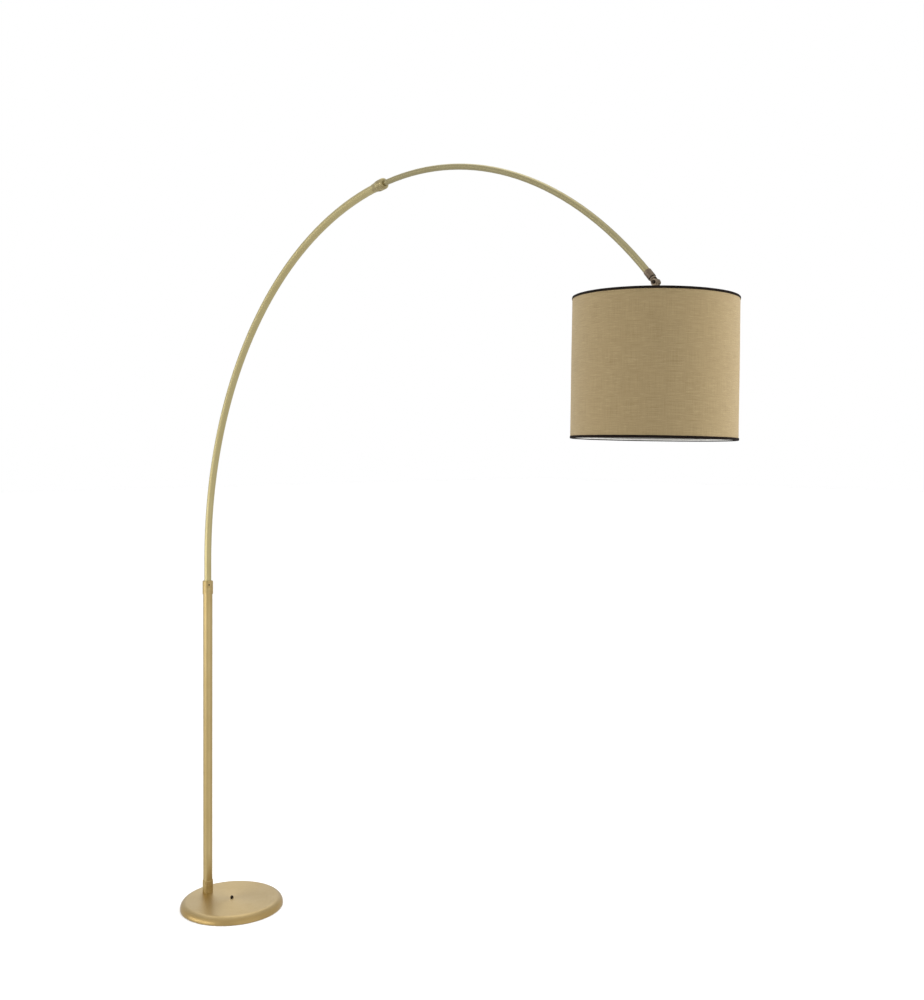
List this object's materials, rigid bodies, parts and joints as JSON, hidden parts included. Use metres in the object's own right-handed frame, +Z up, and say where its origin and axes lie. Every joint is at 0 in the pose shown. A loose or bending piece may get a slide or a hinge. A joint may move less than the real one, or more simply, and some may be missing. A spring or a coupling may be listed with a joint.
{
  "type": "arc floor lamp",
  "caption": "Brushed-brass arc floor lamp: round weighted base, offset pole, telescoping arc arm and a tilting linen drum shade.",
  "frame": {"origin": "centre of the round base on the floor", "axes": "+Z up along the pole; +X the way the arc reaches, the arc lying in a plane parallel to XZ; the pole stands near the -X edge of the base"},
  "size_m": [1.9898, 0.3516, 2.063],
  "materials": {
    "brushed_brass": "antique brass, brushed lengthwise, satin lacquer",
    "spun_brass": "antique brass, spun brushing in rings, satin lacquer",
    "antique_bronze": "dark antique bronze plating, satin",
    "dark_metal": "blackened steel, satin",
    "zinc_steel": "zinc-plated steel",
    "cast_iron": "rough cast iron, painted grey",
    "felt": "dense black felt",
    "black_plastic": "black moulded thermoplastic",
    "brown_nylon": "dark brown nylon",
    "white_nylon": "white nylon",
    "porcelain": "white porcelain",
    "contact_brass": "bare brass",
    "bulb_cap_metal": "nickel-plated shell",
    "opal_glass": "opal white glass",
    "flex": "round two-core flex, black sheath",
    "shade_frame": "white powder-coated wire",
    "linen": "beige linen with horizontal slubs, laminated",
    "lining": "white laminate backing",
    "shade_trim": "dark brown grosgrain binding"
  },
  "bodies": {
    "base": {"base_pad": "felt", "base_weight": "cast_iron", "base_cover": "spun_brass", "centre_screw": "dark_metal", "centre_washer": "zinc_steel", "centre_nut": "zinc_steel", "cable_gland": "black_plastic", "terminal_block": "white_nylon", "foot_nipple": "zinc_steel", "foot_washer": "zinc_steel", "foot_nut": "zinc_steel", "pole_foot_plug": "zinc_steel", "pole_ferrule": "brushed_brass", "pole_tube": "brushed_brass", "pole_collar": "brushed_brass", "swivel_bush": "white_nylon", "collar_set_screw": "dark_metal", "pole_cable": "flex"},
    "arm": {"arc_tube_lower": "brushed_brass", "joint_bell": "brushed_brass", "joint_liner": "brown_nylon", "joint_set_screw": "dark_metal", "arc_cable_lower": "flex"},
    "extension": {"arc_tube_upper": "brushed_brass", "inner_guide": "white_nylon", "end_sleeve": "antique_bronze", "swivel_nipple": "zinc_steel", "swivel_washer": "dark_metal", "arc_cable_upper": "flex"},
    "knuckle": {"knuckle_upper": "antique_bronze", "knuckle_screw": "dark_metal", "knuckle_nut": "dark_metal"},
    "head": {"knuckle_lower": "antique_bronze", "head_nipple": "zinc_steel", "holder_locknut": "zinc_steel", "holder_cap": "black_plastic", "holder_body": "black_plastic", "holder_insulator": "porcelain", "holder_thread_shell": "contact_brass", "holder_contact": "contact_brass", "shade_clamp_ring": "black_plastic", "holder_lead": "flex", "bulb_cap": "bulb_cap_metal", "bulb_glass": "opal_glass", "shade_spider": "shade_frame", "shade_bottom_ring": "shade_frame", "shade_lining": "lining", "shade_linen": "linen", "shade_trim_top": "shade_trim", "shade_trim_bottom": "shade_trim"}
  },
  "joints": [
    {"name": "arm_swivel", "type": "hinge", "parent": "base", "child": "arm", "pos_m": [-0.09172, -0.03158, 0.98], "axis": [0, 0, 1], "range_deg": [-60, 60]},
    {"name": "arc_extend", "type": "hinge", "parent": "arm", "child": "extension", "pos_m": [0.91829, -0.03158, 1.045], "axis": [0, 1, 0], "range_deg": [-40, 8], "deforming": ["arc_cable_lower"]},
    {"name": "head_swivel", "type": "hinge", "parent": "extension", "child": "knuckle", "pos_m": [1.67004, -0.03158, 1.71951], "axis": [0.6678, 0, -0.7443], "range_deg": [-43, 47]},
    {"name": "shade_tilt", "type": "hinge", "parent": "knuckle", "child": "head", "pos_m": [1.67672, -0.03158, 1.71207], "axis": [-0.026, 0.9994, -0.0233], "range_deg": [-35, 35]}
  ]
}
